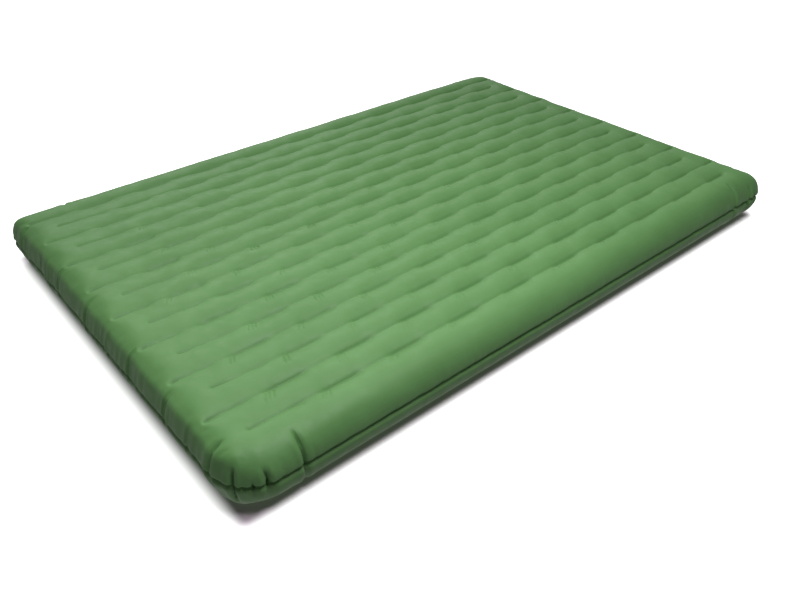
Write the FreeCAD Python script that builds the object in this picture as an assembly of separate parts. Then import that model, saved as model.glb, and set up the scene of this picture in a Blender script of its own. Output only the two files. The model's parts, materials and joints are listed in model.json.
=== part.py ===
"""Two-person inflatable sleeping pad: two welded sheets, sixteen I-beam baffles and a hinged flat valve.

Millimetres. +Y is the long axis with the head end at +Y, +X is the width, +Z is up.
The origin is on the floor, under the middle of the pad.
"""
import FreeCAD, Part
import math
import os

Vector = FreeCAD.Vector

# ---- pad, overall
PAD_WIDTH = 1330.0            # over the weld flange
PAD_LENGTH = 1980.0           # over the weld flange
PAD_HEIGHT = 158.0            # floor to the crowns of the tubes
SEAM_HEIGHT = PAD_HEIGHT / 2  # perimeter weld, half way up the side wall
SHEET = 1.2                   # thickness of each sheet
FLANGE_WIDTH = 7.0            # weld flange outside the inflated body
BODY_CORNER = 75.0            # plan corner radius of the inflated body
WALL_RADIUS = 73.0            # rounding of the side wall, above and below the weld
WALL_OVERRUN = 2.0            # how far the wall's rounding runs past the crowns and the floor

# ---- tubes and baffles
TUBE_COUNT = 17
TUBE_PITCH = 75.5             # from seam to seam
SEAM_LAND = 4.0               # half width of the flat strip where a baffle is welded on
TOP_VALLEY = 24.0             # depth of a top seam under the crowns
BOTTOM_VALLEY = 12.0          # height of a bottom seam over the floor
FLOOR_STRIP = 12.0            # half width of the flat that each tube stands on
BAFFLE_WEB = 1.0              # thickness of a baffle's web
BAFFLE_TAB = 1.0              # thickness of a baffle's welded edge tabs
TAB_HALF_WIDTH = 4.0
LONG_BAFFLE_INSET = 45.0      # end of a long baffle, from the end of the body
SHORT_BAFFLE_INSET = 100.0    # end of a short baffle, from the end of the body
BAFFLE_CHAMFER = 35.0         # corners cut off the web, to follow the rounded end wall
VENT_RADIUS = 18.0
VENT_PITCH = 190.0            # vents are staggered by half of this from web to web

# ---- valve, in its own frame: x along the hinge pins, y up the wall, z out of the pad
VALVE_X = 548.0               # on the head-end wall, near a corner
VALVE_TILT = 20.0             # degrees, how far the valve's axis points up
RECESS_DEPTH = 5.4            # the wall is drawn flat by this much under the valve
RECESS_RADIUS = 28.0
PATCH_THICKNESS = 0.8
COLLAR_HOLE = 18.3            # radius of the hole in the sheet and in the patch

BASE_RADIUS = 26.0            # flange that is welded to the sheet
BASE_FLANGE = 1.2
COLLAR_OUTER = 18.0
COLLAR_BORE = 14.6
COLLAR_TOP = 2.8
COLLAR_BOTTOM = -8.0

LID_PIN_Y = 21.5
LID_PIN_Z = 3.4
LID_PIN_RADIUS = 0.8
LID_KNUCKLE = 2.0             # radius of the lid's knuckle and of the base's ears
LID_KNUCKLE_HALF = 4.7
LID_EAR_NEAR = 5.0
LID_EAR_FAR = 7.8

LID_RADIUS = 17.6
LID_BOTTOM = 3.0
LID_TOP = 4.6
PLUG_RADIUS = 14.1
PLUG_TIP_RADIUS = 13.0
PLUG_TAPER_START = -1.0
PLUG_BOTTOM = -6.0
LID_TAB_HALF = 6.0
LID_TAB_END = 23.0

PORT_RADIUS = 9.0             # bore that a pump nozzle pushes into
PORT_FLOOR = 0.6              # the nozzle stops on a shoulder here
PORT_TOP = 6.2
PORT_THROAT = 8.0
PORT_COLLAR = 10.6
SEAT_RADIUS = 10.2
SEAT_TOP = -2.7
SEAT_BOTTOM = -4.2
SEAT_OPENING = 7.6
SEAT_HUB = 2.4
SEAT_SPOKE = 1.6
SEAT_SPOKES = 3
CORE_INNER = 11.4             # groove that cores the plug from below
CORE_OUTER = 12.4
CORE_TOP = -0.4

RING_CENTRE_Z = 1.3           # seal ring round the plug
RING_MAJOR = 13.7
RING_MINOR = 0.65
RING_GROOVE_DEPTH = 1.05
RING_GROOVE_HALF = 0.7

FLAP_RADIUS = 9.2
FLAP_THICKNESS = 0.65
FLAP_GAP = 0.05
FLAP_TRAVEL = 1.5
STEM_RADIUS = 1.0
BARB_RADIUS = 1.7
BARB_HEIGHT = 0.7

CAP_PIN_Y = -15.2
CAP_PIN_Z = 6.3
CAP_PIN_RADIUS = 0.7
CAP_KNUCKLE = 1.5
CAP_KNUCKLE_HALF = 3.2
CAP_EAR_NEAR = 3.5
CAP_EAR_FAR = 5.7
CAP_RADIUS = 13.0
CAP_SKIRT_INNER = 11.0
CAP_SKIRT_BOTTOM = 4.9
CAP_BOTTOM = 6.4
CAP_TOP = 7.8
CAP_TAB_HALF = 4.5
CAP_TAB_END = 17.0
GASKET_INNER = 9.3
GASKET_OUTER = 10.5
GASKET_BOTTOM = 6.25
GASKET_TOP = 7.0

RUNNING_GAP = 0.06            # radial clearance of a knuckle or stem that turns or slides
HELD_GAP = 0.02               # radial clearance of a pin's held ends
EDGE_BREAK = 0.4              # chamfer on the rims a hand meets

# ---- values that follow
BODY_WIDTH = PAD_WIDTH - 2 * FLANGE_WIDTH
BODY_LENGTH = PAD_LENGTH - 2 * FLANGE_WIDTH
WALL_CENTRE = PAD_HEIGHT + WALL_OVERRUN - WALL_RADIUS


# ---- helpers
def polyline_face(points):
    """A flat face inside straight edges."""
    return Part.Face(Part.makePolygon(points + [points[0]]))


def rounded_plan(inset, z):
    """The body's plan outline, drawn in by inset, at height z."""
    half_x = BODY_WIDTH / 2 - inset
    half_y = BODY_LENGTH / 2 - inset
    radius = BODY_CORNER - inset
    diagonal = radius * math.sqrt(0.5)
    edges = []
    corners = [(1, 1, 0), (-1, 1, 90), (-1, -1, 180), (1, -1, 270)]
    ends = []
    for sign_x, sign_y, start in corners:
        centre = Vector(sign_x * (half_x - radius), sign_y * (half_y - radius), z)
        first = centre + Vector(math.cos(math.radians(start)), math.sin(math.radians(start)), 0) * radius
        last = centre + Vector(-math.sin(math.radians(start)), math.cos(math.radians(start)), 0) * radius
        middle = centre + Vector(sign_x * diagonal, sign_y * diagonal, 0)
        edges.append(Part.Arc(first, middle, last).toShape())
        ends.append((first, last))
    for (_, last), (first, _) in zip(ends, ends[1:] + ends[:1]):
        edges.append(Part.LineSegment(last, first).toShape())
    return Part.Face(Part.Wire(Part.__sortEdges__(edges)))


def ring(outer, inner, bottom, top):
    """A flat ring or a sleeve about the z axis."""
    outside = Part.makeCylinder(outer, top - bottom, Vector(0, 0, bottom))
    inside = Part.makeCylinder(inner, top - bottom, Vector(0, 0, bottom))
    return outside.cut(inside)


def turned(profile):
    """A solid of revolution about the z axis, from (radius, z) points."""
    face = polyline_face([Vector(radius, 0, z) for radius, z in profile])
    return face.revolve(Vector(0, 0, 0), Vector(0, 0, 1), 360)


def block(x_half, y_low, y_high, z_low, z_high, x_low=None):
    """A box centred on x = 0, or from x_low to x_half."""
    start = -x_half if x_low is None else x_low
    return Part.makeBox(x_half - start, y_high - y_low, z_high - z_low, Vector(start, y_low, z_low))


def rod(radius, x_low, x_high, y, z):
    """A cylinder along the x axis."""
    return Part.makeCylinder(radius, x_high - x_low, Vector(x_low, y, z), Vector(1, 0, 0))


def merged(shapes):
    """One solid out of several that touch or overlap."""
    return shapes[0].multiFuse(shapes[1:]).removeSplitter()


def hinge_ears(near, far, radius, pin_y, pin_z, foot_z, pin_radius):
    """Two ears with a pin hole, standing on z = foot_z either side of x = 0."""
    ears = []
    for low, high in ((near, far), (-far, -near)):
        foot = block(high, pin_y - radius, pin_y + radius, foot_z, pin_z, x_low=low)
        head = rod(radius, low, high, pin_y, pin_z)
        hole = rod(pin_radius + HELD_GAP, low, high, pin_y, pin_z)
        ears.append(foot.fuse(head).cut(hole))
    return ears


# ---- the inflated body
def tube_section(inset):
    """The cross-section of the tubes, drawn in by inset, in the XZ plane."""
    chord = TUBE_PITCH / 2 - SEAM_LAND
    crown_radius = (chord ** 2 + TOP_VALLEY ** 2) / (2 * TOP_VALLEY)
    crown_centre = PAD_HEIGHT - crown_radius
    crown_land = PAD_HEIGHT - TOP_VALLEY - inset
    crown_half = math.sqrt((crown_radius - inset) ** 2 - (crown_land - crown_centre) ** 2)

    foot_run = chord - FLOOR_STRIP
    foot_radius = (foot_run ** 2 + BOTTOM_VALLEY ** 2) / (2 * BOTTOM_VALLEY)
    foot_land = BOTTOM_VALLEY + inset
    foot_half = FLOOR_STRIP + math.sqrt((foot_radius - inset) ** 2 - (foot_radius - foot_land) ** 2)
    foot_angle = math.asin((foot_half - FLOOR_STRIP) / (foot_radius - inset)) / 2
    foot_mid = FLOOR_STRIP + (foot_radius - inset) * math.sin(foot_angle)
    foot_mid_z = foot_radius - (foot_radius - inset) * math.cos(foot_angle)

    top = PAD_HEIGHT - inset
    beyond = BODY_WIDTH / 2 + TUBE_PITCH
    outer_angle = math.asin(crown_half / (crown_radius - inset)) / 2
    outer_mid = (crown_radius - inset) * math.sin(outer_angle)
    outer_mid_z = crown_centre + (crown_radius - inset) * math.cos(outer_angle)

    edges = []
    here = Vector(-beyond, 0, top)
    start = here

    def line_to(x, z):
        nonlocal here
        edges.append(Part.LineSegment(here, Vector(x, 0, z)).toShape())
        here = Vector(x, 0, z)

    def arc_to(mid_x, mid_z, x, z):
        nonlocal here
        edges.append(Part.Arc(here, Vector(mid_x, 0, mid_z), Vector(x, 0, z)).toShape())
        here = Vector(x, 0, z)

    outer_centre = TUBE_PITCH * (TUBE_COUNT - 1) / 2
    line_to(-outer_centre, top)
    arc_to(-outer_centre + outer_mid, outer_mid_z, -outer_centre + crown_half, crown_land)
    for tube in range(1, TUBE_COUNT - 1):
        centre = tube * TUBE_PITCH - outer_centre
        line_to(centre - crown_half, crown_land)
        arc_to(centre, top, centre + crown_half, crown_land)
    line_to(outer_centre - crown_half, crown_land)
    arc_to(outer_centre - outer_mid, outer_mid_z, outer_centre, top)
    line_to(beyond, top)
    line_to(beyond, inset)
    line_to(outer_centre - FLOOR_STRIP, inset)
    arc_to(outer_centre - foot_mid, foot_mid_z, outer_centre - foot_half, foot_land)
    for tube in range(TUBE_COUNT - 2, 0, -1):
        centre = tube * TUBE_PITCH - outer_centre
        line_to(centre + foot_half, foot_land)
        arc_to(centre + foot_mid, foot_mid_z, centre + FLOOR_STRIP, inset)
        line_to(centre - FLOOR_STRIP, inset)
        arc_to(centre - foot_mid, foot_mid_z, centre - foot_half, foot_land)
    line_to(-outer_centre + foot_half, foot_land)
    arc_to(-outer_centre + foot_mid, foot_mid_z, -outer_centre + FLOOR_STRIP, inset)
    line_to(-beyond, inset)
    line_to(start.x, start.z)
    return Part.Face(Part.Wire(edges))


def valve_placement():
    """Where the valve's frame stands in the pad's frame."""
    tilt = math.radians(VALVE_TILT)
    out = Vector(0, math.cos(tilt), math.sin(tilt))
    along = Vector(-1, 0, 0)
    up = out.cross(along)
    wall_y = BODY_LENGTH / 2 - WALL_RADIUS
    depth = WALL_RADIUS - RECESS_DEPTH
    place = Vector(VALVE_X, wall_y, WALL_CENTRE) + out * depth
    matrix = FreeCAD.Matrix(along.x, up.x, out.x, place.x,
                            along.y, up.y, out.y, place.y,
                            along.z, up.z, out.z, place.z,
                            0, 0, 0, 1)
    return FreeCAD.Placement(matrix)


def in_pad_frame(shape):
    """The same shape, moved from the valve's frame to the pad's."""
    moved = shape.copy()
    moved.Placement = valve_placement().multiply(moved.Placement)
    return moved


def inflated_body(inset):
    """The whole inflated body as one closed solid, drawn in by inset."""
    section = tube_section(inset)
    section.translate(Vector(0, -BODY_LENGTH / 2 - TUBE_PITCH, 0))
    tubes = section.extrude(Vector(0, BODY_LENGTH + 2 * TUBE_PITCH, 0))
    low = inset - WALL_OVERRUN
    high = PAD_HEIGHT + WALL_OVERRUN - inset
    wall = rounded_plan(inset, low).extrude(Vector(0, 0, high - low))
    rims = [edge for edge in wall.Edges
            if abs(edge.BoundBox.ZLength) < 0.001]
    wall = wall.makeFillet(WALL_RADIUS - inset, rims)
    body = tubes.common(wall)
    recess_reach = 4 * RECESS_DEPTH
    recess = Part.makeCylinder(RECESS_RADIUS + inset, recess_reach, Vector(0, 0, -inset))
    return body.cut(in_pad_frame(recess)).Solids[0]


def half_sheet(shell, sign):
    """One sheet: the shell above (+1) or below (-1) the seam, with its weld flange."""
    reach = PAD_HEIGHT
    low = SEAM_HEIGHT if sign > 0 else SEAM_HEIGHT - reach
    keep = Part.makeBox(2 * PAD_WIDTH, 2 * PAD_LENGTH, reach, Vector(-PAD_WIDTH, -PAD_LENGTH, low))
    half = shell.common(keep)
    plate = rounded_plan(-FLANGE_WIDTH, SEAM_HEIGHT).extrude(Vector(0, 0, sign * SHEET))
    window = rounded_plan(SHEET, SEAM_HEIGHT).extrude(Vector(0, 0, sign * SHEET))
    return merged([half, plate.cut(window)])


def make_sheets():
    """The top and bottom sheets. The top one has the valve's hole."""
    shell = inflated_body(0).cut(inflated_body(SHEET))
    hole = Part.makeCylinder(COLLAR_HOLE, 4 * SHEET, Vector(0, 0, -2 * SHEET))
    top = half_sheet(shell, 1).cut(in_pad_frame(hole))
    bottom = half_sheet(shell, -1)
    return {"top_sheet": top, "bottom_sheet": bottom}


def make_baffle(number):
    """Baffle number 1 to 16: a web with welded edge tabs and round vents."""
    x = (number - TUBE_COUNT / 2) * TUBE_PITCH
    is_long = number % 2 == 1
    half = BODY_LENGTH / 2 - (LONG_BAFFLE_INSET if is_long else SHORT_BAFFLE_INSET)
    low = BOTTOM_VALLEY + SHEET
    high = PAD_HEIGHT - TOP_VALLEY - SHEET
    cut = BAFFLE_CHAMFER
    outline = [(-half + cut, low), (half - cut, low), (half, low + cut), (half, high - cut),
               (half - cut, high), (-half + cut, high), (-half, high - cut), (-half, low + cut)]
    web = polyline_face([Vector(x - BAFFLE_WEB / 2, y, z) for y, z in outline])
    web = web.extrude(Vector(BAFFLE_WEB, 0, 0))
    tab_length = 2 * (half - cut)
    tab_corner = x - TAB_HALF_WIDTH
    tabs = [Part.makeBox(2 * TAB_HALF_WIDTH, tab_length, BAFFLE_TAB, Vector(tab_corner, -half + cut, z))
            for z in (low, high - BAFFLE_TAB)]
    baffle = merged([web] + tabs)
    stagger = 0 if is_long else VENT_PITCH / 2
    count = int((half - cut - stagger) // VENT_PITCH)
    for step in range(-count - 1, count + 1):
        y = step * VENT_PITCH + VENT_PITCH / 2 + stagger
        if abs(y) < half - cut:
            vent = rod(VENT_RADIUS, x - BAFFLE_WEB, x + BAFFLE_WEB, y, (low + high) / 2)
            baffle = baffle.cut(vent)
    return baffle


# ---- the valve's pieces
def make_valve_patch():
    """Doubler ring welded to the inside of the top sheet."""
    return ring(BASE_RADIUS, COLLAR_HOLE, -SHEET - PATCH_THICKNESS, -SHEET)


def make_valve_base():
    """Welded flange, collar and the lid's two hinge ears."""
    flange = turned([(COLLAR_BORE, 0), (BASE_RADIUS, 0), (BASE_RADIUS, BASE_FLANGE / 2),
                     (BASE_RADIUS - BASE_FLANGE / 2, BASE_FLANGE), (COLLAR_BORE, BASE_FLANGE)])
    collar = ring(COLLAR_OUTER, COLLAR_BORE, COLLAR_BOTTOM, COLLAR_TOP)
    ears = hinge_ears(LID_EAR_NEAR, LID_EAR_FAR, LID_KNUCKLE, LID_PIN_Y, LID_PIN_Z,
                      BASE_FLANGE / 2, LID_PIN_RADIUS)
    return merged([flange, collar] + ears)


def make_deflate_lid():
    """Lid with its plug, the pump port through it, its knuckle, its tab and the cap's ears."""
    groove = RING_MAJOR + RING_MINOR - RING_GROOVE_DEPTH
    profile = [(SEAT_RADIUS, PLUG_BOTTOM), (CORE_INNER, PLUG_BOTTOM), (CORE_INNER, CORE_TOP),
               (CORE_OUTER, CORE_TOP), (CORE_OUTER, PLUG_BOTTOM), (PLUG_TIP_RADIUS, PLUG_BOTTOM),
               (PLUG_RADIUS, PLUG_TAPER_START), (PLUG_RADIUS, RING_CENTRE_Z - RING_GROOVE_HALF),
               (groove, RING_CENTRE_Z - RING_GROOVE_HALF), (groove, RING_CENTRE_Z + RING_GROOVE_HALF),
               (PLUG_RADIUS, RING_CENTRE_Z + RING_GROOVE_HALF), (PLUG_RADIUS, LID_BOTTOM),
               (LID_RADIUS, LID_BOTTOM), (LID_RADIUS, LID_TOP - EDGE_BREAK),
               (LID_RADIUS - EDGE_BREAK, LID_TOP), (PORT_COLLAR, LID_TOP),
               (PORT_COLLAR, PORT_TOP), (PORT_RADIUS, PORT_TOP), (PORT_RADIUS, PORT_FLOOR),
               (PORT_THROAT, PORT_FLOOR), (PORT_THROAT, SEAT_TOP), (SEAT_RADIUS, SEAT_TOP)]
    lid = turned(profile)
    link = block(LID_KNUCKLE_HALF, PLUG_RADIUS, LID_PIN_Y, LID_BOTTOM, LID_TOP)
    knuckle = rod(LID_KNUCKLE, -LID_KNUCKLE_HALF, LID_KNUCKLE_HALF, LID_PIN_Y, LID_PIN_Z)
    tab = block(LID_TAB_HALF, -LID_TAB_END, -PLUG_RADIUS, LID_BOTTOM, LID_TOP)
    tab_rims = [edge for edge in tab.Edges
                if edge.BoundBox.XLength < 0.001 and edge.BoundBox.YLength < 0.001
                and edge.BoundBox.YMax < -PLUG_RADIUS - 1]
    tab = tab.makeFillet(LID_TAB_HALF / 2, tab_rims)
    ears = hinge_ears(CAP_EAR_NEAR, CAP_EAR_FAR, CAP_KNUCKLE, CAP_PIN_Y, CAP_PIN_Z,
                      LID_TOP - EDGE_BREAK, CAP_PIN_RADIUS)
    lid = merged([lid, link, knuckle, tab] + ears)
    bore = rod(LID_PIN_RADIUS + RUNNING_GAP, -LID_EAR_NEAR, LID_EAR_NEAR, LID_PIN_Y, LID_PIN_Z)
    return lid.cut(bore)


def make_lid_hinge_pin():
    """Pin of the lid's hinge, held in the base's ears."""
    return rod(LID_PIN_RADIUS, -LID_EAR_FAR + EDGE_BREAK, LID_EAR_FAR - EDGE_BREAK, LID_PIN_Y, LID_PIN_Z)


def make_lid_seal_ring():
    """Round seal in the plug's groove."""
    return Part.makeTorus(RING_MAJOR, RING_MINOR, Vector(0, 0, RING_CENTRE_Z))


def make_flap_seat():
    """Spoked seat pressed into the lid: the flap closes on its underside."""
    rim = ring(SEAT_RADIUS, SEAT_OPENING, SEAT_BOTTOM, SEAT_TOP)
    hub = Part.makeCylinder(SEAT_HUB, SEAT_TOP - SEAT_BOTTOM, Vector(0, 0, SEAT_BOTTOM))
    pieces = [rim, hub]
    for spoke in range(SEAT_SPOKES):
        arm = block(SEAT_SPOKE / 2, 0, SEAT_OPENING + SEAT_SPOKE, SEAT_BOTTOM, SEAT_TOP)
        arm.rotate(Vector(0, 0, 0), Vector(0, 0, 1), spoke * 360 / SEAT_SPOKES)
        pieces.append(arm)
    stem_hole = Part.makeCylinder(STEM_RADIUS + RUNNING_GAP, SEAT_TOP - SEAT_BOTTOM,
                                  Vector(0, 0, SEAT_BOTTOM))
    return merged(pieces).cut(stem_hole)


def make_check_flap():
    """One-way disc with a stem through the seat's hub and a barb that holds it there."""
    top = SEAT_BOTTOM - FLAP_GAP
    barb = SEAT_TOP + FLAP_TRAVEL + FLAP_GAP
    return turned([(0, top - FLAP_THICKNESS), (FLAP_RADIUS, top - FLAP_THICKNESS), (FLAP_RADIUS, top),
                   (STEM_RADIUS, top), (STEM_RADIUS, barb), (BARB_RADIUS, barb),
                   (STEM_RADIUS, barb + BARB_HEIGHT), (0, barb + BARB_HEIGHT)])


def make_inflate_cap():
    """Cap over the pump port, with its knuckle and finger tab."""
    profile = [(0, CAP_BOTTOM), (GASKET_INNER, CAP_BOTTOM), (GASKET_INNER, GASKET_TOP),
               (GASKET_OUTER, GASKET_TOP), (GASKET_OUTER, CAP_BOTTOM), (CAP_SKIRT_INNER, CAP_BOTTOM),
               (CAP_SKIRT_INNER, CAP_SKIRT_BOTTOM), (CAP_RADIUS, CAP_SKIRT_BOTTOM),
               (CAP_RADIUS, CAP_TOP - EDGE_BREAK), (CAP_RADIUS - EDGE_BREAK, CAP_TOP), (0, CAP_TOP)]
    cap = turned(profile)
    link = block(CAP_KNUCKLE_HALF, CAP_PIN_Y, -CAP_SKIRT_INNER, CAP_BOTTOM, CAP_TOP)
    knuckle = rod(CAP_KNUCKLE, -CAP_KNUCKLE_HALF, CAP_KNUCKLE_HALF, CAP_PIN_Y, CAP_PIN_Z)
    tab = block(CAP_TAB_HALF, CAP_SKIRT_INNER, CAP_TAB_END, CAP_BOTTOM, CAP_TOP)
    tab_rims = [edge for edge in tab.Edges
                if edge.BoundBox.XLength < 0.001 and edge.BoundBox.YLength < 0.001
                and edge.BoundBox.YMin > CAP_SKIRT_INNER + 1]
    tab = tab.makeFillet(CAP_TAB_HALF / 2, tab_rims)
    cap = merged([cap, link, knuckle, tab])
    bore = rod(CAP_PIN_RADIUS + RUNNING_GAP, -CAP_EAR_NEAR, CAP_EAR_NEAR, CAP_PIN_Y, CAP_PIN_Z)
    return cap.cut(bore)


def make_cap_hinge_pin():
    """Pin of the cap's hinge, held in the lid's ears."""
    return rod(CAP_PIN_RADIUS, -CAP_EAR_FAR + EDGE_BREAK / 2, CAP_EAR_FAR - EDGE_BREAK / 2,
               CAP_PIN_Y, CAP_PIN_Z)


def make_cap_gasket():
    """Flat ring in the cap that seals on the rim of the port."""
    return ring(GASKET_OUTER, GASKET_INNER, GASKET_BOTTOM, GASKET_TOP)


VALVE_PIECES = {
    "valve_patch": make_valve_patch,
    "valve_base": make_valve_base,
    "lid_hinge_pin": make_lid_hinge_pin,
    "deflate_lid": make_deflate_lid,
    "lid_seal_ring": make_lid_seal_ring,
    "flap_seat": make_flap_seat,
    "check_flap": make_check_flap,
    "cap_hinge_pin": make_cap_hinge_pin,
    "inflate_cap": make_inflate_cap,
    "cap_gasket": make_cap_gasket,
}


def main():
    """Build every node and write it as a STEP file."""
    nodes = make_sheets()
    for number in range(1, TUBE_COUNT):
        nodes["baffle_%02d" % number] = make_baffle(number)
    for name, make in VALVE_PIECES.items():
        nodes[name] = in_pad_frame(make())
    os.makedirs("parts", exist_ok=True)
    for name, shape in nodes.items():
        shape.exportStep("parts/%s.step" % name)
        print(name, "solids", len(shape.Solids), "valid", shape.isValid(), "mm3 %.0f" % shape.Volume)


main()
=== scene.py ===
import json
import math

import bpy
import numpy as np
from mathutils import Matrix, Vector


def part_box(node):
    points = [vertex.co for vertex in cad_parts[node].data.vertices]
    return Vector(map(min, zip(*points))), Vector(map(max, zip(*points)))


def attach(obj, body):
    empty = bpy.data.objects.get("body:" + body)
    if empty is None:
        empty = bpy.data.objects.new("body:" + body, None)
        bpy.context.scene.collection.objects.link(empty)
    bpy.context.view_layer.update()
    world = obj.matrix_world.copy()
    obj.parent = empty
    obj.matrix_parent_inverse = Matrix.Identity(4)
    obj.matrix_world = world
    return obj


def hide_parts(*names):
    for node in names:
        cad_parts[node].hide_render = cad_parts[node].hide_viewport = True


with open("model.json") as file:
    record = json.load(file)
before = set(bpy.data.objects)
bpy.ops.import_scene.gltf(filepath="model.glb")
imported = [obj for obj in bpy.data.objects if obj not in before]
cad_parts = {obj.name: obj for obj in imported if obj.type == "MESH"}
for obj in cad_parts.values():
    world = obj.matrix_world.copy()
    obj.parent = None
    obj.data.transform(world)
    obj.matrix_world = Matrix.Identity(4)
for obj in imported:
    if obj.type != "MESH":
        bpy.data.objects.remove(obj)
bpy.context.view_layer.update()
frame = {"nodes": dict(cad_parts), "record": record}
nodes = frame["nodes"]
record = frame["record"]

# ---------------------------------------------------------------- the frame's own sizes, in metres
SHEET_LOW, SHEET_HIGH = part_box("top_sheet")
HALF_W = SHEET_HIGH.x + 0.004     # the walls bulge a little past the weld
HALF_L = SHEET_HIGH.y + 0.006
TOP = SHEET_HIGH.z
SEAM_Z = SHEET_LOW.z
BAFFLES = sorted(n for n in nodes if n.startswith("baffle_"))
SEAMS = np.array([(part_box(n)[0].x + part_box(n)[1].x) / 2 for n in BAFFLES])
PITCH = float(SEAMS[1] - SEAMS[0])
LONG_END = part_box(BAFFLES[0])[1].y
SHORT_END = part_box(BAFFLES[1])[1].y
PORT = next(m for m in record["mounts"] if m["name"] == "pump_port")

# ---------------------------------------------------------------- how the filled pad looks
WALL = 0.080          # how far in from the outline the shoulder starts
WALL_RUN = 0.123      # about how far the sheet runs down a wall, from shoulder to weld
NEAR_CORNER = (1, -1)    # corners are named by the signs of x and y
CORNERS = {NEAR_CORNER: 0.112, (-1, -1): 0.040, (1, 1): 0.042, (-1, 1): 0.090}   # radius of the outline
DASH = 0.190          # repeat of the deep and shallow stretches along a seam
DASH_HALF = 0.052     # half a deep stretch
DEPTH_LOW = 0.0064    # valley between two deep stretches, before the sheet is inflated
DEPTH_HIGH = 0.0124   # valley along a deep stretch
CROWN_DROP = 0.0035   # the tubes' crowns start this far under the CAD top, and swell up to it
SAG = 0.0065          # the crowns of the outer tubes and of the head end are this much lower

# each pair is for the odd, long seams and the even, short ones; starts are measured in from the outline
WELD_START = (0.037, 0.096)                          # the sharp line of the weld
HELD_START = (0.032, 0.098)                          # what the simulation holds down
VALLEY_START = ((0.024, 0.018), (0.088, 0.026))      # the valley: its start and the run that it fades in over
FOOT_EASE = ((0.36, 0.045, 0.190), (0.16, 0.110, 0.230))     # least share at the foot, start, run

PINCH_DEPTH, PINCH_WIDTH = 0.0062, 0.0048    # groove where the two sheets meet at the weld
WELD_GAP = 0.0012     # both sheets stay this far from the weld's level
SIM_LINES = 12        # simulated lattice lines per tube
SIM_FRAMES = 9
SIM_PRESSURE = 150
SIM_REACH = 0.012     # no point moves further than this in the simulation
SLACK_ALONG = 0.022   # share by which the cloth wants to be longer along the pad than it starts
SLACK_ACROSS = 0.020  # the same across the pad, on the walls only
SLACK_STOPS = 0.140   # this near the outline, the cloth gets no slack along the pad


def smooth(t):
    """0 up to t = 0, 1 from t = 1 on, and an even S-curve between them."""
    t = np.clip(t, 0.0, 1.0)
    return t * t * (3 - 2 * t)


def bell(t):
    return np.exp(-(t**2))


def noise(x, y, scale, seed):
    """Smooth random field from -1 to 1, with features about scale metres wide."""
    grid = np.random.default_rng(seed).uniform(-1, 1, (512, 512))
    fx, fy = np.asarray(x) / scale + 200.0, np.asarray(y) / scale + 200.0
    ix, iy = np.floor(fx).astype(int), np.floor(fy).astype(int)
    tx, ty = smooth(fx - ix), smooth(fy - iy)
    a, b = grid[ix % 512, iy % 512], grid[(ix + 1) % 512, iy % 512]
    c, d = grid[ix % 512, (iy + 1) % 512], grid[(ix + 1) % 512, (iy + 1) % 512]
    return (a * (1 - tx) + b * tx) * (1 - ty) + (c * (1 - tx) + d * tx) * ty


# ---------------------------------------------------------------- lattice lines across and along the pad
def across_lines(steps):
    """Columns over the flat part of the pad: fine beside each seam."""
    half = PITCH / 2
    inner = half * np.linspace(0, 1, steps + 1) ** 1.35
    found = []
    for x in SEAMS:
        found += list(x + inner) + list(x - inner)
    found = np.unique(np.round(found, 6))
    edge = HALF_W - WALL
    found = found[np.abs(found) < edge - 0.003]
    return np.concatenate([[-edge], found, [edge]])


FOLD_ROW = HALF_L - WALL - 0.086    # where the outermost corner fold crosses the side walls


def along_lines(fine, coarse):
    """Rows over the flat part: fine where deep stretches start and end, and at the outermost corner fold."""
    edge = HALF_L - WALL
    y, found = 0.0, [0.0]
    while y < edge - coarse:
        off = abs((y / (DASH / 4)) % 2 - 1) * (DASH / 4)
        off_fold = abs(y - FOLD_ROW)
        y += fine + (coarse - fine) * float(smooth((min(off, off_fold) - 0.016) / 0.014))
        found.append(y)
    found[-1] = edge
    found = np.array(found)
    return np.concatenate([-found[:0:-1], found])


def wall_lines(count, power):
    """Fractions down the wall, from 0 at the shoulder to 1 at the weld, closer together near the weld."""
    t = np.linspace(0, 1, count + 1)[1:]
    return 1 - (1 - t) ** power


class Lattice:
    """Grid of points of one sheet: flat columns and rows with walls round them.

    x and y are each line's place on the flat part, p and q its signed share of the way down the wall.
    cx, cy, fp and fq are the same at each point.
    """

    def __init__(self, columns, rows, wall):
        self.x = np.concatenate([np.full(len(wall), columns[0]), columns, np.full(len(wall), columns[-1])])
        self.y = np.concatenate([np.full(len(wall), rows[0]), rows, np.full(len(wall), rows[-1])])
        self.p = np.concatenate([-wall[::-1], np.zeros(len(columns)), wall])
        self.q = np.concatenate([-wall[::-1], np.zeros(len(rows)), wall])
        self.cx, self.cy = np.meshgrid(self.x, self.y)
        self.fp, self.fq = np.meshgrid(self.p, self.q)
        self.shape = self.cx.shape


def outline_reach(angle, radius):
    """Distance from a corner block's inner point to the outline, in the direction angle."""
    c, s = np.cos(angle), np.sin(angle)
    inset = WALL - radius
    middle = inset * (c + s)
    arc = middle + np.sqrt(np.maximum(middle**2 - 2 * inset**2 + radius**2, 0))
    straight = WALL / np.maximum(np.maximum(c, s), 1e-9)
    ends_at = np.arctan2(inset, WALL)
    on_straight = (angle < ends_at) | (angle > math.pi / 2 - ends_at)
    return np.where(on_straight, straight, arc)


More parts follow.
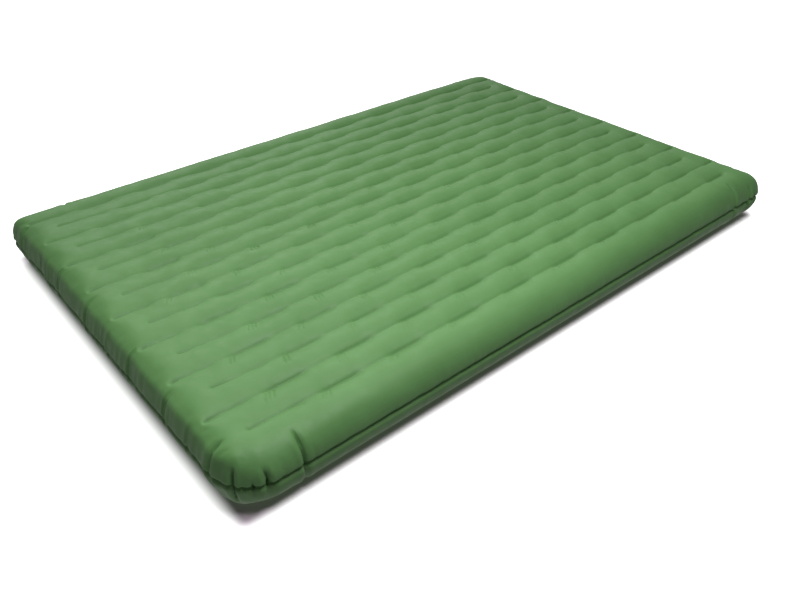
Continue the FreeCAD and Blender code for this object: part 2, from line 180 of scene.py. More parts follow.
def wall_profile(turns):
    """Reach and height of a wall as shares of its whole, at even steps from shoulder to weld.

    turns lists (share of the way down, slope in degrees below level).
    """
    t = np.linspace(0, 1, 801)
    share, slope = np.array(turns).T
    tilt = np.radians(np.interp(t, share, slope))
    # rounds the turns off
    window = np.hanning(61) / np.hanning(61).sum()
    tilt = np.convolve(np.pad(tilt, 30, mode="edge"), window, "valid")
    reach = np.concatenate([[0], np.cumsum((np.cos(tilt[1:]) + np.cos(tilt[:-1])) / 2)])
    height = np.concatenate([[0], np.cumsum((np.sin(tilt[1:]) + np.sin(tilt[:-1])) / 2)])
    return t, reach / reach.max(), 1 - height / height[-1]


SIDE_WALL = wall_profile([(0, 0), (0.34, 27), (0.88, 88), (1.0, 110)])
FOOT_WALL = wall_profile([(0, 0), (0.36, 6), (0.52, 48), (0.62, 67), (0.90, 75), (1.0, 105)])
HEAD_WALL = wall_profile([(0, 0), (0.36, 8), (0.54, 50), (0.64, 72), (0.92, 80), (1.0, 108)])


def pillow(lat, crown, sag=0.0):
    """Smooth filled shape without seams, how far down the wall each point is, and its angle at a corner.

    crown is the height at the middle, less by sag at the sides and the head.
    """
    at_side = smooth((np.abs(lat.cx) - (HALF_W - 0.24)) / 0.16)
    at_head = smooth((lat.cy - (HALF_L - 0.28)) / 0.20)
    crown = crown - sag * np.maximum(at_side, at_head)
    radius = np.zeros(lat.shape)
    for (sign_x, sign_y), value in CORNERS.items():
        radius[((lat.cx > 0) == (sign_x > 0)) & ((lat.cy > 0) == (sign_y > 0))] = value
    sx, sy = np.sign(lat.fp), np.sign(lat.fq)
    p, q = np.abs(lat.fp), np.abs(lat.fq)
    # the walls' square at each corner becomes a quarter of a disc
    ex = p * np.sqrt(1 - q * q / 2)
    ey = q * np.sqrt(1 - p * p / 2)
    down = np.minimum(np.hypot(ex, ey), 1.0)
    angle = np.arctan2(ey, np.maximum(ex, 1e-12))
    angle = np.where(down < 1e-9, 0.0, angle)
    end = smooth((angle / (math.pi / 2) - 0.15) / 0.7)
    side, foot, head = [[np.interp(down, wall[0], wall[k]) for k in (1, 2)]
                        for wall in (SIDE_WALL, FOOT_WALL, HEAD_WALL)]
    out, left = [(1 - end) * side[k] + end * np.where(lat.cy < 0, foot[k], head[k]) for k in (0, 1)]
    past_side, past_end = np.abs(lat.cx) - (HALF_W - radius), np.abs(lat.cy) - (HALF_L - radius)
    past = np.where(angle > math.pi / 4, past_side, past_end)
    cut_back = radius - np.sqrt(radius**2 - np.clip(past, 0, radius) ** 2)
    at_corner = (p > 0) & (q > 0)
    reach = np.where(at_corner, outline_reach(angle, radius), WALL - cut_back) * out
    x = lat.cx + sx * reach * np.cos(angle)
    y = lat.cy + sy * reach * np.sin(angle)
    z = SEAM_Z + (crown - SEAM_Z) * left
    return np.stack([x, y, z], -1), down, angle


def normals(points, outward):
    """Unit normals of a grid of points, turned over where outward is -1."""
    du = np.gradient(points, axis=1)
    dv = np.gradient(points, axis=0)
    n = np.cross(du, dv)
    n /= np.maximum(np.linalg.norm(n, axis=-1, keepdims=True), 1e-12)
    return n * outward


# ---------------------------------------------------------------- seams
def stretches(i):
    """The deep stretches of seam i, as (start, end) along the pad.

    Neighbouring seams are half a repeat apart. i counts from 0, so i % 2 is 0 for the odd, long seams.
    """
    if i % 2 == 0:
        found = [(-LONG_END - 0.027, -LONG_END + 0.083), (LONG_END - 0.040, LONG_END + 0.027)]
        middles = DASH * np.arange(-4, 5)
    else:
        found = [(-SHORT_END - 0.014, -SHORT_END + 0.125)]
        middles = DASH * (np.arange(-4, 5) + 0.5)
    found += [(m - DASH_HALF, m + DASH_HALF) for m in middles]
    return sorted(found)


def deep_part(along, i):
    """1 along seam i's deep stretches and 0 between them."""
    deep = np.zeros(along.shape)
    for start, end in stretches(i):
        middle, half = (start + end) / 2, (end - start) / 2
        gap = np.abs(along - middle) - half
        deep = np.maximum(deep, smooth((0.014 - gap) / 0.036))
    return deep


def end_fade(end_gap, i):
    """0 past the end of seam i and 1 inside it."""
    start, run = VALLEY_START[i % 2]
    return smooth((end_gap - start) / run)


def ease(x, y, end_gap, i):
    """The seams pull less near the ends, most of all at the foot, where they run out on to the shoulder."""
    least, start, run = FOOT_EASE[i % 2]
    foot = least + (1 - least) * smooth((end_gap - start) / run)
    # the far half of the foot end pulls less again
    foot = foot * (1 - 0.22 * smooth((-0.10 - x) / 0.25) * smooth((0.60 - end_gap) / 0.25))
    head = (0.60 + 0.40 * smooth((end_gap - 0.045) / 0.150)) * (1 - 0.20 * smooth((0.70 - end_gap) / 0.35))
    return np.where(y < 0, foot, head)


def seam_field(points, end_gap):
    """How far the seams pull the sheet in, at each point, before it is inflated."""
    x, y = points[..., 0], points[..., 1]
    pull = np.zeros(x.shape)
    half = PITCH / 2
    for i, at in enumerate(SEAMS):
        e = np.abs(x - at)
        depth = DEPTH_LOW + (DEPTH_HIGH - DEPTH_LOW) * deep_part(y, i)
        depth = depth * end_fade(end_gap, i) * ease(x, y, end_gap, i)
        arc = np.where(e < half, (1 - e / half) ** 2, 0.0)
        pull = np.maximum(pull, depth * arc)
    return pull


# gathers of the end walls: place across the pad and size
FOOT_GATHERS = [(-0.520, 0.5), (-0.395, 0.6), (-0.264, 1.1), (-0.075, 1.2),
                (0.060, 0.45), (0.180, 1.1), (0.358, 1.0), (0.470, 0.6)]
HEAD_GATHERS = [(-0.500, 0.8), (-0.340, 1.1), (-0.180, 0.6), (-0.050, 1.2),
                (0.120, 0.8), (0.290, 1.1), (0.430, 0.6)]


def end_gathers(points, down, seed):
    """Gathers of the end walls: each starts in a tuck at the weld and runs over the shoulder."""
    x, y = points[..., 0], points[..., 1]
    pull = np.zeros(x.shape)
    rng = np.random.default_rng(seed)
    for side, gathers in ((-1, FOOT_GATHERS), (1, HEAD_GATHERS)):
        on_end = (np.sign(y) == side) & (np.abs(y) > HALF_L - WALL)
        for at, size in gathers:
            top = rng.uniform(0.16, 0.34) + 0.25 * (size < 0.8)
            lean = rng.uniform(-0.004, 0.014)
            wide = rng.uniform(0.0020, 0.0028)
            e = x - at - lean * (1 - down)
            crease = bell(e / wide) + 0.45 * bell((e - 3.3 * wide) / (0.8 * wide))
            rim = bell((e - 1.7 * wide) / (0.9 * wide)) + 0.6 * bell((e + 2.2 * wide) / (1.4 * wide))
            tuck = 0.0080 * bell(e / 0.0042) * smooth((down - 0.86) / 0.12)
            shape = 0.0060 * crease - 0.0016 * rim
            pull += np.where(on_end, size * (shape * smooth((down - top) / 0.22) + tuck), 0.0)
    return pull


def shoulder_wrinkles(points, down):
    """Fine folds that fan up the wall from the weld."""
    x, y = points[..., 0], points[..., 1]
    on_end = np.abs(y) > HALF_L - WALL
    t = np.where(on_end, x, y)
    strength = smooth((down - 0.42) / 0.40)
    amount = 0.5 + 0.5 * noise(t, 0 * t + 3.0, 0.060, 11)
    fold = noise(t, 0 * t, 0.0085, 5) * amount
    ends = np.where(on_end, 0.0019, 0.0008)
    return strength * fold * ends


# folds round a corner: place along the outline, how far down the wall each starts, and depth
CORNER_FOLDS = [(-0.092, 0.24, 0.0060), (-0.024, 0.54, 0.0074), (0.026, 0.76, 0.0050),
                (0.060, 0.50, 0.0074), (0.148, 0.20, 0.0066)]


def around_corner(lat, angle):
    """Distance along the outline from the nearest corner, rising from the end wall to the side wall."""
    edge_x, edge_y = HALF_W - WALL, HALF_L - WALL
    return (math.pi / 4 - angle) * WALL - (edge_x - np.abs(lat.cx)) + (edge_y - np.abs(lat.cy))


def corner_folds(lat, points, down, angle, seed):
    """Gathers round the four corners: sharp cuts that part the wall into lobes."""
    x, y = points[..., 0], points[..., 1]
    run = around_corner(lat, angle)
    on_wall = (lat.fp != 0) | (lat.fq != 0)
    pull = np.zeros(x.shape)
    rng = np.random.default_rng(seed)
    for sx, sy in CORNERS:
        here = on_wall & (np.sign(x) == sx) & (np.sign(y) == sy) & (np.abs(run) < 0.2)
        amount, narrow, strong = (0.0, 0.0022, 1.8) if (sx, sy) == NEAR_CORNER else (1.0, 0.0038, 1.3)
        for at, top, deep in CORNER_FOLDS:
            vary = rng.uniform(-1, 1, 4) * amount
            e = run - (at + 0.010 * vary[0]) - 0.012 * vary[1] * (1 - down)
            cut = strong * bell(e / narrow) + 0.38 * bell(e / 0.010)
            lobe = 0.30 * bell((np.abs(e) - 0.0135) / 0.008)
            size = deep * (1 + 0.3 * vary[2]) * smooth((down - top - 0.08 * vary[3]) / 0.30)
            pull += np.where(here, size * (cut - lobe), 0.0)
    return pull


def cross_wrinkles(points):
    """Short folds across the tubes, at the start of each deep stretch."""
    x, y = points[..., 0], points[..., 1]
    lift = np.zeros(x.shape)
    rng = np.random.default_rng(21)
    for i, at in enumerate(SEAMS):
        for start, _ in stretches(i)[1:]:
            count = rng.integers(2, 4)
            keep = rng.uniform(0, 1) < 0.86
            size = rng.uniform(0.5, 1.15) * (0.35 + 0.65 * float(smooth((at + 0.45) / 0.5)))
            size *= 1.0 - 0.65 * float(smooth((start - 0.05) / 0.5))
            slant = rng.uniform(0.45, 0.70)
            pitch = rng.uniform(0.0078, 0.0095)
            if not keep or abs(start) > HALF_L - 0.10:
                continue
            box = (np.abs(x - at - 0.018) < 0.03) & (np.abs(y - start) < 0.05)
            if not box.any():
                continue
            bx, by = x[box] - at, y[box] - start
            window = smooth(bx / 0.008) * smooth((0.036 - bx) / 0.012)
            across = by + slant * bx
            here = np.zeros(bx.shape)
            for c in range(count):
                u = across - c * 1.15 * pitch
                here += -bell(u / 0.0022) + 0.8 * bell((u - 0.0044) / 0.0023)
            lift[box] += 0.0036 * size * window * here
    return lift


# ---------------------------------------------------------------- valve seat in the head end wall
AXIS = np.array(PORT["axis"], float)
SEAT_BACK = 0.0034    # the seat's face is this far behind the port's own point
SEAT = np.array(PORT["pos_m"], float) - AXIS * SEAT_BACK
VALVE_HOLE = 0.0190   # radius of the hole in the sheet, hidden by the valve's base


def flatten_at_valve(points):
    """Presses the wall flat behind the valve, but not the weld under it; gives the distances too."""
    rel = points - SEAT
    out = rel @ AXIS
    flat = rel - out[..., None] * AXIS
    r = np.linalg.norm(flat, axis=-1)
    near = smooth((0.050 - r) / 0.023) * (np.abs(out) < 0.04)
    near = near * smooth((points[..., 2] - SEAM_Z - 0.001) / 0.0065)
    return points - (near * (out + 0.0003))[..., None] * AXIS, r


# ---------------------------------------------------------------- inflating the top sheet
def spline_matrix(coarse, fine):
    """Weights of a natural cubic spline through values at coarse, read at fine."""
    m = len(coarse)
    h = np.diff(coarse)
    a = np.zeros((m, m))
    b = np.zeros((m, m))
    a[0, 0] = a[-1, -1] = 1.0
    for k in range(1, m - 1):
        a[k, k - 1], a[k, k], a[k, k + 1] = h[k - 1], 2 * (h[k - 1] + h[k]), h[k]
        b[k, k - 1] = 6 / h[k - 1]
        b[k, k] = -6 / h[k - 1] - 6 / h[k]
        b[k, k + 1] = 6 / h[k]
    bend = np.linalg.solve(a, b)
    at = np.clip(np.searchsorted(coarse, fine, side="right") - 1, 0, m - 2)
    left = (coarse[at + 1] - fine) / h[at]
    right = 1 - left
    out = np.zeros((len(fine), m))
    rows = np.arange(len(fine))
    out[rows, at] += left
    out[rows, at + 1] += right
    out += ((left**3 - left) * h[at] ** 2 / 6)[:, None] * bend[at]
    out += ((right**3 - right) * h[at] ** 2 / 6)[:, None] * bend[at + 1]
    return out


def run_length(flat, wall):
    """One rising coordinate along a lattice axis: metres over the flat part and down both walls."""
    return flat + wall * WALL_RUN


def simulate(base, down):
    """Inflates the top sheet between its welds with Blender's cloth, and gives the points' moves."""
    n = normals(base, 1.0)
    x, y = base[..., 0], base[..., 1]
    end_gap = HALF_L - np.abs(y)
    valley = seam_field(base, end_gap)
    pinned = np.zeros(x.shape, bool)
    # the seams are held down a little unevenly
    for i, at in enumerate(SEAMS):
        sink = 0.0008 * noise(y, 0 * y + at * 7, 0.11, 41)
        held = (np.abs(x - at) < 0.0004) & (down < 0.5) & (end_gap > HELD_START[i % 2])
        pinned |= held
        valley += np.where(held, sink, 0.0)
    lane = 1 - smooth((down - 0.35) / 0.4)
    start = base - n * (valley * lane)[..., None]
    start = start + n * (0.0005 * noise(x, y, 0.018, 77))[..., None]
    slack = start.copy()
    slack[..., 1] += SLACK_ALONG * np.clip(slack[..., 1], SLACK_STOPS - HALF_L, HALF_L - SLACK_STOPS)
    slack[..., 0] *= 1.0 + SLACK_ACROSS * smooth((down - 0.2) / 0.4)
    pinned[0] = pinned[-1] = True
    pinned[:, 0] = pinned[:, -1] = True
    whole = np.ones((start.shape[0] - 1, start.shape[1] - 1), bool)
    sheet = make_mesh("inflating", start, whole, developed(start))
    sheet.shape_key_add(name="Basis")
    rest = sheet.shape_key_add(name="slack")
    rest.data.foreach_set("co", slack.astype(np.float32).ravel())
    rest.value = 0.0
    group = sheet.vertex_groups.new(name="welds")
    group.add([int(k) for k in np.nonzero(pinned.ravel())[0]], 1.0, "REPLACE")
    cloth = sheet.modifiers.new("cloth", "CLOTH")
    cloth.settings.quality = 5
    cloth.settings.mass = 0.15
    cloth.settings.tension_stiffness = 20
    cloth.settings.compression_stiffness = 20
    cloth.settings.shear_stiffness = 5
    cloth.settings.bending_stiffness = 0.1
    cloth.settings.bending_damping = 0.5
    cloth.settings.vertex_group_mass = "welds"
    cloth.settings.use_pressure = True
    cloth.settings.uniform_pressure_force = SIM_PRESSURE
    cloth.settings.effector_weights.gravity = 0.0
    cloth.settings.rest_shape_key = rest
    cloth.collision_settings.use_collision = False
    cloth.point_cache.frame_start = 1
    cloth.point_cache.frame_end = SIM_FRAMES + 1
    for f in range(1, SIM_FRAMES + 1):
        bpy.context.scene.frame_set(f)
    graph = bpy.context.evaluated_depsgraph_get()
    done = sheet.evaluated_get(graph).to_mesh()
    found = np.zeros(start.size, np.float32)
    done.vertices.foreach_get("co", found)
    sheet.evaluated_get(graph).to_mesh_clear()
    found = found.reshape(start.shape).astype(float)
    bpy.data.objects.remove(sheet)
    bpy.context.scene.frame_set(1)
    move = found - start
    size = np.linalg.norm(move, axis=-1, keepdims=True)
    move *= np.minimum(1.0, SIM_REACH / np.maximum(size, 1e-9))
    return start + move - base


def inflated_moves(fine):
    """The simulated sheet's moves from the plain pillow, read at the fine lattice's points."""
    step = PITCH / SIM_LINES
    edge_x, edge_y = HALF_W - WALL, HALF_L - WALL
    columns = SEAMS[0] + step * np.arange(-4, (len(SEAMS) - 1) * SIM_LINES + 5)
    columns = columns[np.abs(columns) < edge_x - 0.003]
    columns = np.concatenate([[-edge_x], columns, [edge_x]])
    count = int(round(edge_y / step))
    rows = np.linspace(-edge_y, edge_y, 2 * count + 1)
    wall = np.linspace(0, 1, 17)[1:]
    lat = Lattice(columns, rows, wall)
    base, down, _ = pillow(lat, TOP - CROWN_DROP, SAG)
    moves = simulate(base, down)
    mx = spline_matrix(run_length(lat.x, lat.p), run_length(fine.x, fine.p))
    my = spline_matrix(run_length(lat.y, lat.q), run_length(fine.y, fine.q))
    moves = np.einsum("ij,jkc,lk->ilc", my, moves, mx, optimize=True)
    # the end walls keep most of their own shape
    on_end = smooth((np.abs(fine.fq) - 0.42) / 0.22)
    return moves * (1 - 0.85 * on_end)[..., None]


# ---------------------------------------------------------------- sheets
def add_flange(points, lat, level, outward_z):
    """Adds what shows of the weld flange, deep in the groove: four lines that end in a rounded edge."""
    lines = [(0.0006, 0.0009), (0.0014, 0.0008), (0.0020, 0.0004), (0.0021, 0.0)]   # how far out and how high
    out = np.stack([points[..., 0] - np.clip(points[..., 0], lat.x[0], lat.x[-1]),
                    points[..., 1] - np.clip(points[..., 1], lat.y[0], lat.y[-1])], -1)
    rows, cols = points.shape[:2]
    k = len(lines)
    grown = np.zeros((rows + 2 * k, cols + 2 * k, 3))
    grown[k:-k, k:-k] = points
    t = np.arange(grown.shape[0])[:, None]
    s = np.arange(grown.shape[1])[None, :]
    ring = np.maximum(np.maximum(k - t, t - (rows + k - 1)), np.maximum(k - s, s - (cols + k - 1)))
    ti = np.clip(t - k, 0, rows - 1) + 0 * s
    si = np.clip(s - k, 0, cols - 1) + 0 * t
    base = points[ti, si]
    direction = out[ti, si]
    size = np.linalg.norm(direction, axis=-1, keepdims=True)
    direction = direction / np.maximum(size, 1e-9)
    wave = 0.0002 * noise(base[..., 0], base[..., 1], 0.030, 31)
    for r, (step, thick) in enumerate(lines, 1):
        here = ring == r
        grown[here, 0] = (base[..., 0] + direction[..., 0] * step)[here]
        grown[here, 1] = (base[..., 1] + direction[..., 1] * step)[here]
        grown[here, 2] = (level + outward_z * thick + wave)[here]
    return grown


def make_mesh(name, points, keep, uv):
    """A smooth mesh of quads on a grid of points, of the cells that keep marks."""
    rows, cols = points.shape[:2]
    index = np.arange(rows * cols).reshape(rows, cols)
    quads = np.stack([index[:-1, :-1], index[:-1, 1:], index[1:, 1:], index[1:, :-1]], -1).reshape(-1, 4)
    quads = quads[keep.reshape(-1)]
    used, quads = np.unique(quads, return_inverse=True)
    quads = quads.reshape(-1, 4)
    co = points.reshape(-1, 3)[used]
    uvs = uv.reshape(-1, 2)[used]
    mesh = bpy.data.meshes.new(name)
    mesh.vertices.add(len(co))
    mesh.vertices.foreach_set("co", co.astype(np.float32).ravel())
    mesh.loops.add(quads.size)
    mesh.loops.foreach_set("vertex_index", quads.astype(np.int32).ravel())
    mesh.polygons.add(len(quads))
    mesh.polygons.foreach_set("loop_start", np.arange(0, quads.size, 4, dtype=np.int32))
    mesh.update(calc_edges=True)
    layer = mesh.uv_layers.new(name="cloth")
    layer.data.foreach_set("uv", uvs[quads.ravel()].astype(np.float32).ravel())
    mesh.polygons.foreach_set("use_smooth", np.ones(len(quads), bool))
    mesh.validate()
    obj = bpy.data.objects.new(name, mesh)
    bpy.context.scene.collection.objects.link(obj)
    return obj


def developed(points):
    """Distances along the lattice lines, so that a weave keeps its scale on the walls."""
    du = np.linalg.norm(np.diff(points, axis=1), axis=-1)
    dv = np.linalg.norm(np.diff(points, axis=0), axis=-1)
    u = np.concatenate([np.zeros((points.shape[0], 1)), np.cumsum(du, axis=1)], axis=1)
    v = np.concatenate([np.zeros((1, points.shape[1])), np.cumsum(dv, axis=0)], axis=0)
    u -= u[:, u.shape[1] // 2][:, None]
    v -= v[v.shape[0] // 2][None, :]
    return np.stack([u, v], -1)


def bulge_ends(points, lat, base, down):
    """The ends bulge outwards a little between the long seams."""
    x, y = base[..., 0], base[..., 1]
    phase = (x - SEAMS[0]) / (2 * PITCH) * 2 * math.pi
    inside = smooth((HALF_W - 0.09 - np.abs(x)) / 0.03)
    on_end = smooth((down - 0.35) / 0.4) * (np.abs(y) > HALF_L - WALL)
    bulge = 0.0017 * inside * on_end * (1 - np.cos(phase)) / 2
    out = points[..., :2] - np.stack([lat.cx, lat.cy], -1)
    size = np.maximum(np.linalg.norm(out, axis=-1, keepdims=True), 1e-9)
    points[..., :2] += out / size * bulge[..., None]


def pinch(down):
    """The groove at the weld, as a pull inwards."""
    return PINCH_DEPTH * bell((1 - down) * WALL_RUN / PINCH_WIDTH) * (down > 0.5)


def weld_lines(points, end_gap):
    """The narrow sharp line of each seam's weld, with a wider groove where the seam starts."""
    x, y = points[..., 0], points[..., 1]
    pull = np.zeros(x.shape)
    for i, at in enumerate(SEAMS):
        e = np.abs(x - at - 0.0009 * noise(y, 0 * y + at * 9, 0.045, 15))
        start = WELD_START[i % 2]
        fade = smooth((end_gap - start) / 0.006)
        pull += (0.0007 + 0.0008 * deep_part(y, i)) * fade * np.exp(-e / 0.0022)
        first = np.exp(-np.maximum(end_gap - start, 0) / 0.028)
        steep = np.where(x < at, np.exp(-e / 0.0044), np.exp(-e / 0.0014))
        pull += 0.0046 * first * fade * steep
    return pull


def top_sheet():
    """The inflated top sheet with its seams, gathers, folds and wrinkles, and a hole behind the valve."""
    lat = Lattice(across_lines(10), along_lines(0.0027, 0.0060), wall_lines(32, 1.4))
    base, down, angle = pillow(lat, TOP - CROWN_DROP, SAG)
    end_gap = HALF_L - np.abs(base[..., 1])
    x, y = base[..., 0], base[..., 1]
    flatness = 1 - smooth((down - 0.55) / 0.3)
    points = base + inflated_moves(lat)
    n = normals(points, 1.0)
    pull = weld_lines(base, end_gap) * flatness
    pull = pull + end_gathers(base, down, 6)
    pull = pull + corner_folds(lat, base, down, angle, 3)
    lift = cross_wrinkles(base) * flatness
    lift = lift + shoulder_wrinkles(base, down)
    uneven = 0.0004 * noise(x, y, 0.026, 2) + 0.0011 * noise(x, 0.7 * y, 0.052, 9)
    lift = lift + uneven * (1 - smooth((down - 0.6) / 0.3))
    points = points + n * (lift - pull - pinch(down))[..., None]
    points[..., 2] = np.maximum(points[..., 2], SEAM_Z + WELD_GAP)
    bulge_ends(points, lat, base, down)
    points, r = flatten_at_valve(points)
    grown = add_flange(points, lat, SEAM_Z, 1)
    radius = np.full(grown.shape[:2], np.inf)
    k = (grown.shape[0] - points.shape[0]) // 2
    radius[k:-k, k:-k] = r
    hole = radius < VALVE_HOLE
    keep = ~(hole[:-1, :-1] | hole[:-1, 1:] | hole[1:, 1:] | hole[1:, :-1])
    obj = make_mesh("pad_top", grown, keep, developed(grown))
    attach(obj, "pad")
    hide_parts("top_sheet")
    return obj


def bottom_sheet():
    """The bottom sheet: shallower seams, and flat where it rests on the floor."""
    lat = Lattice(across_lines(7), along_lines(0.0060, 0.0110), wall_lines(20, 1.5))
    base, down, angle = pillow(lat, 0.0)
    n = normals(base, -1.0)
    end_gap = HALF_L - np.abs(base[..., 1])
    flatness = 1 - smooth((down - 0.45) / 0.25)
    pull = seam_field(base, end_gap) * 0.75 * flatness
    pull = pull + end_gathers(base, down, 6) * smooth((down - 0.6) / 0.3)
    pull = pull + corner_folds(lat, base, down, angle, 3)
    lift = shoulder_wrinkles(base, down)
    points = base + n * (lift - pull - pinch(down))[..., None]
    points[..., 2] = np.clip(points[..., 2], 0.0003, SEAM_Z - WELD_GAP)
    bulge_ends(points, lat, base, down)
    grown = add_flange(points, lat, SEAM_Z, -1)[:, ::-1]
    keep = np.ones((grown.shape[0] - 1, grown.shape[1] - 1), bool)
    obj = make_mesh("pad_bottom", grown, keep, developed(grown))
    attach(obj, "pad")
    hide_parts("bottom_sheet")
    return obj


# ---------------------------------------------------------------- materials
THREADS = 900.0       # scale of the weave's two wave textures


def new_material(name):
    mat = bpy.data.materials.new(name)
    mat.use_nodes = True
    tree = mat.node_tree
    bsdf = tree.nodes["Principled BSDF"]
    return mat, tree, bsdf


def set_inputs(node, **values):
    """Sets a node's inputs; an underscore in a name stands for a space."""
    for name, value in values.items():
        node.inputs[name.replace("_", " ")].default_value = value


def add(tree, kind, **values):
    """A new shader node with its inputs set."""
    node = tree.nodes.new("ShaderNode" + kind)
    set_inputs(node, **values)
    return node


def add_ramp(tree, stops, fac):
    """A colour ramp between two (position, colour) stops."""
    ramp = add(tree, "ValToRGB")
    for stop, (position, colour) in zip(ramp.color_ramp.elements, stops):
        stop.position, stop.color = position, (*colour, 1)
    tree.links.new(fac, ramp.inputs["Fac"])
    return ramp


def add_mix(tree, blend, factor):
    mix = add(tree, "Mix")
    mix.data_type, mix.blend_type = "RGBA", blend
    set_inputs(mix, Factor=factor)
    return mix


def add_threads(tree, uv, direction):
    """Fine even bands of one direction of the weave."""
    bands = add(tree, "TexWave", Scale=THREADS)
    bands.wave_type, bands.bands_direction = "BANDS", direction
    tree.links.new(uv.outputs["UV"], bands.inputs["Vector"])
    return bands


def fabric(name, colour, dark, roughness, sheen):
    """Coated woven polyester: satin, with a fine weave, faint mottling and a duller bloom."""
    mat, tree, bsdf = new_material(name)
    link = tree.links.new
    uv = add(tree, "UVMap")
    uv.uv_map = "cloth"
    where = add(tree, "TexCoord")

    blotch = add(tree, "TexNoise", Scale=5.0, Detail=5.0, Roughness=0.6)
    link(where.outputs["Object"], blotch.inputs["Vector"])
    mottled = add_ramp(tree, [(0.32, dark), (0.70, colour)], blotch.outputs["Fac"])

    warp, weft = add_threads(tree, uv, "X"), add_threads(tree, uv, "Y")
    cross = add(tree, "Math")
    cross.operation = "MULTIPLY"
    link(warp.outputs["Fac"], cross.inputs[0])
    link(weft.outputs["Fac"], cross.inputs[1])
    thread = add_mix(tree, "MULTIPLY", 0.18)
    link(mottled.outputs["Color"], thread.inputs["A"])
    shade = add(tree, "MapRange", To_Min=0.80, To_Max=1.10)
    link(cross.outputs["Value"], shade.inputs["Value"])
    link(shade.outputs["Result"], thread.inputs["B"])
    link(thread.outputs["Result"], bsdf.inputs["Base Color"])

    wear = add(tree, "TexNoise", Scale=38.0, Detail=4.0)
    link(where.outputs["Object"], wear.inputs["Vector"])
    gloss = add(tree, "MapRange", From_Min=0.35, From_Max=0.65)
    set_inputs(gloss, To_Min=roughness - 0.05, To_Max=roughness + 0.07)
    link(wear.outputs["Fac"], gloss.inputs["Value"])
    link(gloss.outputs["Result"], bsdf.inputs["Roughness"])

    micro = add(tree, "Bump", Strength=0.22, Distance=0.00012)
    link(cross.outputs["Value"], micro.inputs["Height"])
    creases = add(tree, "TexNoise", Scale=60.0, Detail=6.0, Roughness=0.55)
    link(where.outputs["Object"], creases.inputs["Vector"])
    crumple = add(tree, "Bump", Strength=0.35, Distance=0.0011)
    link(creases.outputs["Fac"], crumple.inputs["Height"])
    link(micro.outputs["Normal"], crumple.inputs["Normal"])
    link(crumple.outputs["Normal"], bsdf.inputs["Normal"])

    set_inputs(bsdf, Sheen_Weight=sheen, Sheen_Roughness=0.45, Sheen_Tint=(0.75, 0.95, 0.72, 1))
    set_inputs(bsdf, Specular_IOR_Level=0.26)
    return mat


def moulded(name, colour, roughness, grain, coat=0.0):
    """Moulded plastic or rubber: fine spark-eroded grain and slight colour variation."""
    mat, tree, bsdf = new_material(name)
    link = tree.links.new
    where = add(tree, "TexCoord")
    tone = add(tree, "TexNoise", Scale=70.0, Detail=3.0)
    link(where.outputs["Object"], tone.inputs["Vector"])
    darker, lighter = [c * 0.82 for c in colour], [min(c * 1.12, 1) for c in colour]
    varied = add_ramp(tree, [(0.3, darker), (0.7, lighter)], tone.outputs["Fac"])
    link(varied.outputs["Color"], bsdf.inputs["Base Color"])
    fine = add(tree, "TexNoise", Scale=2600.0, Detail=2.0)
    link(where.outputs["Object"], fine.inputs["Vector"])
    bump = add(tree, "Bump", Strength=grain, Distance=0.00015)
    link(fine.outputs["Fac"], bump.inputs["Height"])
    link(bump.outputs["Normal"], bsdf.inputs["Normal"])
    rub = add(tree, "MapRange", From_Min=0.3, From_Max=0.7, To_Min=roughness - 0.06, To_Max=roughness + 0.06)
    link(tone.outputs["Fac"], rub.inputs["Value"])
    link(rub.outputs["Result"], bsdf.inputs["Roughness"])
    set_inputs(bsdf, Coat_Weight=coat)
    return mat


def steel(name):
    """Brushed steel, streaked along the pin."""
    mat, tree, bsdf = new_material(name)
    link = tree.links.new
    where = add(tree, "TexCoord")
    stretch = add(tree, "Mapping", Scale=(60.0, 4000.0, 4000.0))
    link(where.outputs["Object"], stretch.inputs["Vector"])
    brush = add(tree, "TexNoise", Scale=1.0)
    link(stretch.outputs["Vector"], brush.inputs["Vector"])
    streaks = add_ramp(tree, [(0.0, (0.40, 0.40, 0.41)), (1.0, (0.66, 0.66, 0.67))], brush.outputs["Fac"])
    link(streaks.outputs["Color"], bsdf.inputs["Base Color"])
    rough = add(tree, "MapRange", To_Min=0.22, To_Max=0.42)
    link(brush.outputs["Fac"], rough.inputs["Value"])
    link(rough.outputs["Result"], bsdf.inputs["Roughness"])
    set_inputs(bsdf, Metallic=1.0)
    return mat


def assign(obj, mat):
    obj.data.materials.clear()
    obj.data.materials.append(mat)


top = top_sheet()
bottom = bottom_sheet()

GREEN, GREEN_DARK = (0.112, 0.250, 0.084), (0.098, 0.225, 0.072)
UNDER, UNDER_DARK = (0.108, 0.230, 0.080), (0.094, 0.205, 0.068)
assign(top, fabric("top_fabric", GREEN, GREEN_DARK, 0.50, 0.01))
assign(bottom, fabric("bottom_fabric", UNDER, UNDER_DARK, 0.48, 0.01))

# colour, roughness, grain and coat of each plain material
MOULDED = {
    "patch_fabric": ((0.12, 0.24, 0.10), 0.5, 0.3),
    "valve_plastic": ((0.025, 0.055, 0.022), 0.42, 0.35),
    "cap_plastic": ((0.02, 0.03, 0.02), 0.40, 0.35),
    "seat_plastic": ((0.55, 0.57, 0.55), 0.38, 0.25),
    "seal_rubber": ((0.03, 0.03, 0.03), 0.6, 0.5),
    "flap_silicone": ((0.62, 0.64, 0.62), 0.35, 0.1, 0.2),
    "baffle_fabric": ((0.72, 0.73, 0.70), 0.7, 0.4),
}
finishes = {name: moulded(name, *values) for name, values in MOULDED.items()}
finishes["pin_steel"] = steel("pin_steel")
for part in record["subparts"]:
    if part["node"] not in ("top_sheet", "bottom_sheet"):
        assign(nodes[part["node"]], finishes[part["material_slot"]])

